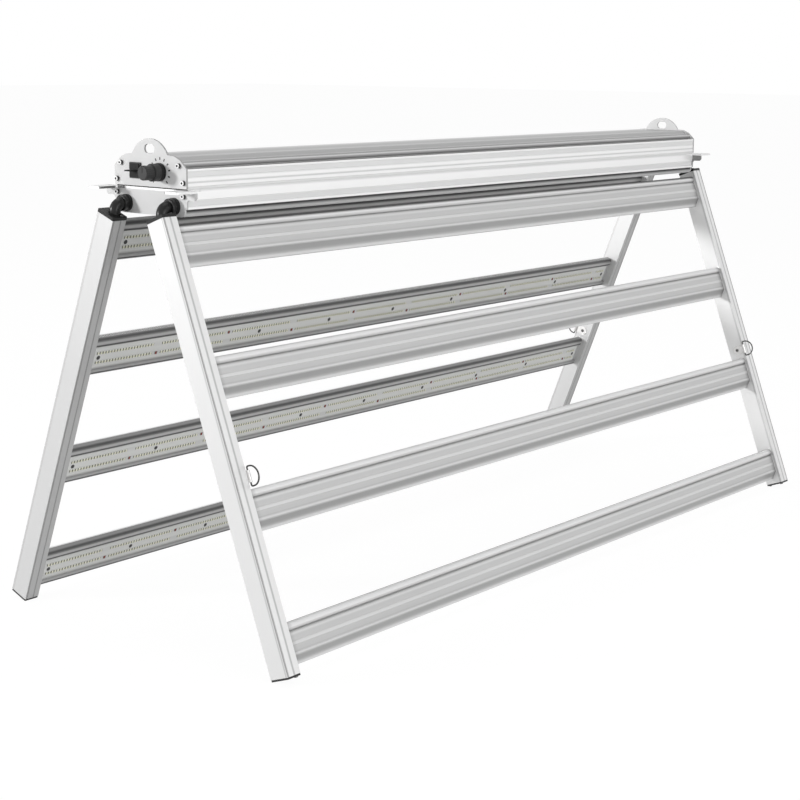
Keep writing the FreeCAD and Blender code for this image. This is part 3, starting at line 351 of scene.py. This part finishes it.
# ---- Dimmer scale ----
# Short dark strokes printed on the end plate in an arc round the knob, in a coat of
# ink too thin to feel.
class Grove:
    """A Geometry Nodes tree under construction; add() places one node."""

    def __init__(self, name, sizes):
        self.tree = bpy.data.node_groups.new(name, "GeometryNodeTree")
        face = self.tree.interface
        face.new_socket("Geometry", in_out="OUTPUT", socket_type="NodeSocketGeometry")
        self.keys = {}
        for label, value in sizes.items():
            kind = "NodeSocketInt" if isinstance(value, int) else "NodeSocketFloat"
            if isinstance(value, bpy.types.Material):
                kind = "NodeSocketMaterial"
            socket = face.new_socket(label, in_out="INPUT", socket_type=kind)
            self.keys[label] = (socket.identifier, value)
        self.source = self.tree.nodes.new("NodeGroupInput")
        self.sink = self.tree.nodes.new("NodeGroupOutput")

    def size(self, label):
        """One of the tree's named inputs."""
        return self.source.outputs[label]

    def add(self, kind, sockets=None, settings=None):
        """A new node: its settings first, then values or links by socket."""
        node = self.tree.nodes.new(kind)
        for name, value in (settings or {}).items():
            setattr(node, name, value)
        for name, value in (sockets or {}).items():
            if isinstance(value, bpy.types.NodeSocket):
                self.tree.links.new(value, node.inputs[name])
            else:
                node.inputs[name].default_value = value
        return node.outputs

    def sum(self, operation, first, second):
        """A Math node's result."""
        return self.add("ShaderNodeMath", {0: first, 1: second}, {"operation": operation})[0]

    def spot(self, x=0.0, y=0.0, z=0.0):
        """A vector from three values."""
        return self.add("ShaderNodeCombineXYZ", {0: x, 1: y, 2: z})[0]

    def block(self, length, width, height, material):
        """A box with three of the tree's sizes, in one of its materials."""
        size = self.spot(self.size(length), self.size(width), self.size(height))
        return self.finished(self.add("GeometryNodeMeshCube", {"Size": size})["Mesh"], material)

    def finished(self, shape, material):
        """The shape in one of the tree's materials."""
        return self.add("GeometryNodeSetMaterial", {"Geometry": shape, "Material": self.size(material)})[0]

    def raised(self, shape, height):
        """The shape moved up by a height."""
        return self.add("GeometryNodeTransform", {"Geometry": shape, "Translation": self.spot(z=height)})[0]

    def joined(self, shapes):
        """Several shapes as one."""
        joint = self.add("GeometryNodeJoinGeometry")[0]
        for shape in shapes:
            self.tree.links.new(shape, joint.node.inputs[0])
        return joint

    def close(self, shape, body, slot_name, set_in_place=None):
        """Realizes the shape as a plain mesh riding on a body."""
        solid = self.add("GeometryNodeRealizeInstances", {"Geometry": shape})[0]
        self.tree.links.new(solid, self.sink.inputs[0])
        holder = bpy.data.objects.new("holder", bpy.data.meshes.new("holder"))
        bpy.context.scene.collection.objects.link(holder)
        grower = holder.modifiers.new("grow", "NODES")
        grower.node_group = self.tree
        for identifier, value in self.keys.values():
            grower[identifier] = value
        bpy.context.view_layer.update()
        seen = holder.evaluated_get(bpy.context.evaluated_depsgraph_get())
        mesh = bpy.data.meshes.new_from_object(seen)
        bpy.data.objects.remove(holder)
        if set_in_place is not None:
            mesh.transform(set_in_place)
        piece = bpy.data.objects.new(self.tree.name, mesh)
        bpy.context.scene.collection.objects.link(piece)
        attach(piece, body)


def middle_of(name):
    """The middle of a CAD node's box."""
    low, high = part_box(name)
    return (Vector(low) + Vector(high)) / 2


scale_centre = middle_of("dimmer_knob")
scale_centre.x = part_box("control_end_plate")[0][0]
print_ink = black_moulding("print_ink", 0.02, 0.5, 2200.0, 0.00001)
scale_tree = Grove("dimmer_scale", {
    "Strokes": 11, "Arc radius": 0.0142, "Stroke length": 0.0030, "Stroke width": 0.0015,
    "Ink thickness": 0.00008, "Ink": print_ink})
arc = scale_tree.add("GeometryNodeCurveArc", {
    "Resolution": scale_tree.size("Strokes"), "Radius": scale_tree.size("Arc radius"),
    "Start Angle": math.radians(-45.0), "Sweep Angle": math.radians(270.0)}, {"mode": "RADIUS"})["Curve"]
stroke = scale_tree.block("Stroke length", "Stroke width", "Ink thickness", "Ink")
points = scale_tree.add("GeometryNodeCurveToPoints", {"Curve": arc, "Count": scale_tree.size("Strokes")})
spot = scale_tree.add("GeometryNodeInputPosition")[0]
aim = scale_tree.add("FunctionNodeAlignRotationToVector", {"Vector": spot}, {"axis": "X"})[0]
strokes = scale_tree.add("GeometryNodeInstanceOnPoints", {
    "Points": points["Points"], "Instance": stroke, "Rotation": aim})[0]
onto_plate = Matrix.Translation(scale_centre) @ Matrix.Rotation(math.radians(-90.0), 4, "Y")
onto_plate = onto_plate @ Matrix.Rotation(math.radians(-90.0), 4, "Z")
scale_tree.close(strokes, "housing", "black_plastic", onto_plate)


# ---- Hinges ----
# Each black cast elbow ends in a turned spigot that runs in a flanged bush, nutted
# through the lower end plate, with a clip in its groove; wires run through the middle.
black_cast = black_moulding("black_cast", 0.008, 0.34, 900.0, 0.00012)
dress(black_cast, "hinge_hubs")
dress(zinc, "hinge_hub_nuts", "front_hinge_clips", "back_hinge_clips")


# ---- Wings: rails, feet and elbows ----
# Each side rail is a channel with a snapped-in cover, both satin extrusions cut
# square, with a black elbow screwed on top and a thin black foot under it.
lean = {}
for joint in frame["joints"]:
    if joint["child"].endswith("_wing"):
        side = "front" if joint["child"].startswith("front") else "back"
        lean[side] = math.radians(-joint["range_deg"][0]) * (-1 if side == "front" else 1)


def wing_ways(side):
    """Unit steps down along a wing's rails and outward from the wing."""
    outward = -1.0 if side == "front" else 1.0
    angle = abs(lean[side])
    return (Vector((0.0, outward * math.sin(angle), -math.cos(angle))),
            Vector((0.0, outward * math.cos(angle), math.sin(angle))))


def rail_painted_shade(side):
    """Painted shade along a groove beside the rail's corner and the joint of cover and channel, over the
    inner face, and on the flank.
    """
    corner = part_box(side + "_rail_cover_far")[1][0]
    outward = wing_ways(side)[1]
    # The back wing's flank is a darker, painted-shade copy of the front's.
    flank_painted_shade = 0.78 if side == "front" else 0.67

    def bands(tap):
        inset = corner - tap.endways()
        outer = tap.tone(inset, (
            (0.0, 0.28), (1.2, 0.40), (2.2, 0.76), (3.0, 0.84), (8.2, 0.84), (9.4, 0.54), (10.4, 0.50),
            (11.2, 0.68), (11.8, 0.81), (19.0, 0.81)))
        inner = tap.tone(inset, (
            (0.0, 0.46), (1.2, 0.40), (2.1, 0.24), (3.2, 0.46), (10.2, 0.46), (11.6, 0.24), (12.8, 0.46),
            (19.0, 0.46)))
        flank = tap.tone(tap.reach(outward, hinge_at[side + "_wing"]), (
            (-16.0, flank_painted_shade), (6.4, flank_painted_shade), (7.4, 0.58), (8.8, 0.58), (9.6, flank_painted_shade),
            (10.2, 0.46)))
        face = tap.blend(tap.reach(outward, kind=1).over(-0.4), inner, outer)
        return tap.blend(tap.endways(kind=1).over(0.6), face, flank)
    return bands


for side in ("front", "back"):
    rail_satin = satin_extrusion(side + "_rail_satin", tilt=-lean[side], along=2, bands=rail_painted_shade(side))
    for end in ("near", "far"):
        dress(rail_satin, "{}_rail_{}".format(side, end), "{}_rail_cover_{}".format(side, end))
        dress(black_cast, "{}_hinge_elbow_{}".format(side, end))
    dress(black_plastic, side + "_foot_caps")


# ---- Light bars ----
# Hollow extrusions that carry the boards and shed their heat, screwed between the rails:
# a rolled top edge, a ridged panel and a rolled lower edge outside, and lips inside.
bar_top_to_board = 0.0245


def board_reach(side, number):
    """How far down the wing the middle of a board lies from the hinge."""
    middle = middle_of("{}_led_board_{}".format(side, number))
    return wing_ways(side)[0].dot(middle - Vector(hinge_at[side + "_wing"]))


def below_bar_top(tap, side):
    """How far a point lies below the top edge of the first bar, and of its own bar."""
    pitch = board_reach(side, 2) - board_reach(side, 1)
    first = board_reach(side, 1) - bar_top_to_board
    below_first = tap.reach(wing_ways(side)[0], hinge_at[side + "_wing"]) - first
    return below_first, tap.math("MODULO", below_first, pitch)


def bar_painted_light(side):
    """Painted shade and painted highlights down one bar, outside and on the LED side, repeated from bar to
    bar.
    """
    def bands(tap):
        below_first, below = below_bar_top(tap, side)
        outer = tap.tone(below, (
            (0.0, 0.78), (5.0, 0.80), (6.2, 0.66), (8.0, 0.52), (9.2, 0.42), (10.0, 0.42), (11.0, 0.58),
            (12.5, 0.68), (14.5, 0.56), (19.5, 0.56), (21.0, 0.68), (23.2, 0.70), (24.5, 0.56), (29.5, 0.54),
            (30.5, 0.47), (32.0, 0.68), (33.2, 0.70), (34.2, 0.50), (35.5, 0.35), (39.5, 0.37), (41.0, 0.46),
            (42.0, 0.56), (43.0, 0.66), (45.2, 0.74)))
        inner = tap.tone(below, (
            (0.0, 0.22), (1.0, 0.09), (2.2, 0.09), (3.2, 0.18), (4.4, 0.36), (5.4, 0.44), (7.2, 0.42),
            (8.2, 0.16), (9.0, 0.05), (9.8, 0.14), (11.0, 0.50), (36.0, 0.50), (38.2, 0.30), (39.4, 0.30),
            (41.0, 0.42), (42.2, 0.40), (43.2, 0.16), (45.2, 0.30)))
        # Painted shadow of the housing across the top of the first bar.
        painted_housing_shadow = tap.tone(below_first, ((0.0, 0.12), (2.0, 0.16), (4.6, 1.0), (20.0, 1.0)))
        # Painted shade at each bar's ends, where they meet the rails.
        painted_rail_shadow = tap.tone(tap.endways(), ((500.0, 1.0), (521.0, 1.0), (526.0, 0.80), (531.0, 0.42)))
        outer = tap.tint(tap.tint(outer, painted_housing_shadow), painted_rail_shadow)
        edge = tap.reach(wing_ways(side)[1], hinge_at[side + "_wing"]) + below.over(0.02) * 0.005
        return tap.blend(edge.over(0.002), inner, outer)
    return bands


for side in ("front", "back"):
    bar_satin = satin_extrusion(side + "_bar_satin", bands=bar_painted_light(side))
    for number in range(1, 5):
        dress(bar_satin, "{}_heat_sink_{}".format(side, number))


# ---- LED boards ----
# Pale solder mask on an aluminium core, with faint copper runs under the mask along
# the two rows of LEDs, painted shade near the bar's lips and a dark ring round each screw, painted as a
# wider head and its shadow.
board_screw_inset = 0.008
screws_each_way = 4


def board_mask(side):
    """The mask with its copper runs, with painted shade near the bar's lips and a painted dark ring round
    the screws.
    """
    material, tap, shader = open_finish(side + "_board_mask")
    weave = tap.grain(1600.0, detail=2.0)
    runs = tap.grain(420.0, (0.004, 1.0, 1.0), -lean[side], 2.0)
    below = below_bar_top(tap, side)[1]
    painted_lip_shade = tap.tone(below, (
        (11.0, 0.84), (12.0, 0.92), (14.5, 0.97), (17.0, 0.90), (20.5, 0.93), (22.5, 1.0), (26.5, 1.0),
        (29.0, 0.88), (32.0, 0.90), (35.0, 0.96), (36.6, 0.74), (38.0, 0.50)))
    screw_step = (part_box(side + "_led_board_1")[1][0] - board_screw_inset) / screws_each_way
    steps = tap.endways() * (1.0 / screw_step)
    beside = (steps - tap.math("ROUND", steps, 0.0)) * screw_step
    above = below - bar_top_to_board
    off_centre = tap.math("SQRT", beside * beside + above * above, 0.0)
    tone = tap.blend(runs, (0.75, 0.755, 0.74, 1.0), (0.82, 0.825, 0.81, 1.0))
    # A dark ring round each screw, painted as a wider head and its shadow.
    tone = tap.blend(off_centre.over(0.0026), grey(0.05), tone)
    join(tap.tint(tone, painted_lip_shade), shader, "Base Color")
    join(weave * 0.1 + 0.42, shader, "Roughness")
    join(tap.relief(runs, 0.00004, 0.5), shader, "Normal")
    return material


for side in ("front", "back"):
    mask = board_mask(side)
    for number in range(1, 5):
        dress(mask, "{}_led_board_{}".format(side, number))


# ---- LEDs ----
# Small moulded packages with a yellow phosphor window, soldered in two rows on each
# board, in groups with a deep red one in the gap between two groups.
def small_finish(name, low, high, lumps, smooth, coat=0.0):
    """A moulded or soldered finish whose colour and gloss vary a little."""
    material, tap, shader = open_finish(name)
    cloud = tap.grain(lumps)
    join(tap.blend(cloud, low + (1.0,), high + (1.0,)), shader, "Base Color")
    join(cloud * 0.2 + smooth, shader, "Roughness")
    shader.inputs["Coat Weight"].default_value = coat
    return material


package_resin = small_finish("package_resin", (0.82, 0.82, 0.74), (0.90, 0.90, 0.82), 600.0, 0.35)
phosphor = small_finish("phosphor", (0.82, 0.80, 0.56), (0.90, 0.88, 0.64), 500.0, 0.15, coat=0.6)
red_lens = small_finish("red_lens", (0.16, 0.02, 0.02), (0.28, 0.04, 0.03), 500.0, 0.12, coat=0.7)
# Real solder pads, painted near black so that they also stand for the shade between packages.
solder_in_painted_shade = small_finish("solder_in_painted_shade", (0.07, 0.07, 0.035), (0.12, 0.12, 0.065), 900.0, 0.35)

led_pitch = 0.00425
row_spacing = 0.0117
row_shortfall = 0.008          # how much shorter a row is than its board
board_low, board_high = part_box("front_led_board_1")
leds_in_row = int((board_high[0] - board_low[0] - row_shortfall) / led_pitch)
face_lift = 0.00105            # from the middle of a board to the middle of its LEDs


def led_rows(name, red, shift):
    """One board's LEDs: rows along X on the z = 0 plane, lenses towards +Z."""
    tree = Grove(name, {
        "LEDs in a row": leds_in_row, "Pitch": led_pitch, "Row spacing": row_spacing,
        "Group": 27, "Package length": 0.0024, "Package width": 0.0035, "Height": 0.0007,
        "Window": 0.0009, "Window taper": 0.85, "Window height": 0.00012,
        "Pad length": 0.0041, "Pad width": 0.0030, "Pad height": 0.00016,
        "Shift": shift, "Resin": red_lens if red else package_resin, "Lens": red_lens if red else phosphor,
        "Solder": solder_in_painted_shade})
    step = tree.spot(tree.size("Pitch"))
    steps = tree.sum("SUBTRACT", tree.size("LEDs in a row"), 1.0)
    start_x = tree.sum("MULTIPLY", tree.sum("MULTIPLY", steps, tree.size("Pitch")), -0.5)
    lines = []
    for half in (-0.5, 0.5):
        row_y = tree.sum("MULTIPLY", tree.size("Row spacing"), half)
        start = tree.spot(start_x, row_y)
        lines.append(tree.add("GeometryNodeMeshLine", {
            "Count": tree.size("LEDs in a row"), "Start Location": start, "Offset": step},
            {"mode": "OFFSET"})[0])
    number = tree.add("GeometryNodeInputIndex")[0]
    place_in_group = tree.sum("ADD", number, tree.size("Shift"))
    rank = tree.sum("MODULO", place_in_group, tree.size("Group"))
    in_gap = tree.sum("LESS_THAN", rank, 0.5)
    group = tree.sum("FLOOR", tree.sum("DIVIDE", place_in_group, tree.size("Group")), 0.0)
    odd = tree.sum("MODULO", group, 2.0)
    last = tree.sum("SUBTRACT", tree.size("Group"), 1.5)
    in_group = tree.sum("MULTIPLY", tree.sum("GREATER_THAN", rank, 1.5), tree.sum("LESS_THAN", rank, last))
    package = tree.block("Package length", "Package width", "Height", "Resin")
    window = tree.add("GeometryNodeMeshCone", {
        "Vertices": 10, "Radius Top": tree.sum("MULTIPLY", tree.size("Window"), tree.size("Window taper")),
        "Radius Bottom": tree.size("Window"), "Depth": tree.size("Window height")})["Mesh"]
    window = tree.finished(tree.raised(window, tree.sum("MULTIPLY", tree.size("Height"), 0.5)), "Lens")
    pad = tree.block("Pad length", "Pad width", "Pad height", "Solder")
    pad = tree.raised(pad, tree.sum("MULTIPLY", tree.size("Height"), -0.4))
    led = tree.joined((pad, package, window))
    rows = []
    for row, line in enumerate(lines):
        chosen = in_group
        if red:
            chosen = tree.sum("MULTIPLY", in_gap, odd if row else tree.sum("SUBTRACT", 1.0, odd))
        rows.append(tree.add("GeometryNodeInstanceOnPoints", {
            "Points": line, "Instance": led, "Selection": chosen})[0])
    return tree, tree.joined(rows)


def board_places(side):
    """For each board of a wing, the turn and shift that lay a z = 0 pattern on its face."""
    down, outward = wing_ways(side)
    turned = Matrix((outward.cross(down), down, -outward)).transposed().to_4x4()
    places = []
    for number in range(1, 5):
        centre = middle_of("{}_led_board_{}".format(side, number))
        places.append(Matrix.Translation(centre - outward * face_lift) @ turned)
    return places


for side in ("front", "back"):
    for red in (False, True):
        label = side + ("_red_leds" if red else "_white_leds")
        tree, shape = led_rows(label, red, 6 if side == "front" else 21)
        laid = [tree.add("GeometryNodeTransform", {
            "Geometry": shape, "Translation": place.translation, "Rotation": place.to_euler()})[0]
            for place in board_places(side)]
        tree.close(tree.joined(laid), side + "_wing", "led_board")


# ---- Hanging rings ----
# Bent and butted steel wire in straps of thin steel, each strap curled round the
# straight side of its ring and screwed to the rail.
ring_steel = plated_steel("ring_steel", 0.07, 0.34)
strap_steel = plated_steel("strap_steel", 0.62, 0.38)
screw_steel = plated_steel("screw_steel", 0.12, 0.26)
for side in ("front", "back"):
    for end in ("near", "far"):
        dress(ring_steel, "{}_hanging_ring_{}".format(side, end))
    dress(strap_steel, side + "_ring_straps")
    dress(screw_steel, side + "_screws")


# ---- Driver ----
# Sealed power supply in a plain extruded case, held on the floor of the upper housing
# by a foot at each end.
dress(satin_extrusion("driver_case", 0.5), "led_driver")


# ---- Floor, backdrop and lamps ----
# A pale floor that fades into a white surround, and soft lamps: a broad one in front,
# a small strong one and a faint fill beyond the dimmer end, and a weak one above.
def seen_directly(tap):
    """1 for camera, glossy and transmission rays, 0 for the rays that light the object."""
    rays = [tap.make("ShaderNodeLightPath", out=number) for number in (0, 3, 6)]
    return tap.math("MAXIMUM", rays[0], tap.math("MAXIMUM", rays[1], rays[2]))


def studio_floor():
    """Pale paint that glows towards the rays which see it directly."""
    material, tap, shader = open_finish("floor_paint")
    speck = tap.grain(6.0)
    join(tap.blend(speck, grey(0.74), grey(0.78)), shader, "Base Color")
    shader.inputs["Roughness"].default_value = 0.8
    shader.inputs["Specular IOR Level"].default_value = 0.1
    glow = tap.make("ShaderNodeEmission", {"Color": grey(1.0), "Strength": 1.06})
    paint = Tap(tap.tree, shader.outputs[0])
    mixed = tap.make("ShaderNodeMixShader", {0: seen_directly(tap) * 0.90, 1: paint, 2: glow})
    output = tap.tree.nodes["Material Output"]
    tap.tree.links.new(mixed.socket, output.inputs["Surface"])
    return material


floor_mesh = bpy.data.meshes.new("floor")
floor_reach = 30.0
corners = [(x * floor_reach, y * floor_reach, 0.0) for x, y in ((-1, -1), (1, -1), (1, 1), (-1, 1))]
floor_mesh.from_pydata(corners, [], [(0, 1, 2, 3)])
floor = bpy.data.objects.new("floor", floor_mesh)
bpy.context.scene.collection.objects.link(floor)
floor_mesh.materials.append(studio_floor())

world = bpy.data.worlds.new("surround")
world.use_nodes = True
bpy.context.scene.world = world
sky = Tap(world.node_tree)
backdrop = world.node_tree.nodes["Background"]
join(sky.blend(seen_directly(sky), grey(0.27), grey(1.0)), backdrop, "Color")


def soft_lamp(name, place, size, power):
    """A round area lamp aimed at the middle of the light."""
    lamp = bpy.data.lights.new(name, "AREA")
    lamp.shape = "DISK"
    lamp.size = size
    lamp.energy = power
    holder = bpy.data.objects.new(name, lamp)
    bpy.context.scene.collection.objects.link(holder)
    holder.location = place
    aim = (Vector(cad_box[0]) + Vector(cad_box[1])) / 2
    holder.rotation_euler = (aim - Vector(place)).to_track_quat("-Z", "Y").to_euler()


soft_lamp("front_lamp", (-0.6, -3.4, 0.6), 2.4, 75.0)
soft_lamp("end_lamp", (-5.0, 3.4, 1.6), 1.0, 185.0)
soft_lamp("end_fill", (-5.2, -1.0, 1.2), 3.4, 12.0)
soft_lamp("top_lamp", (0.3, 0.4, 3.2), 2.2, 18.0)
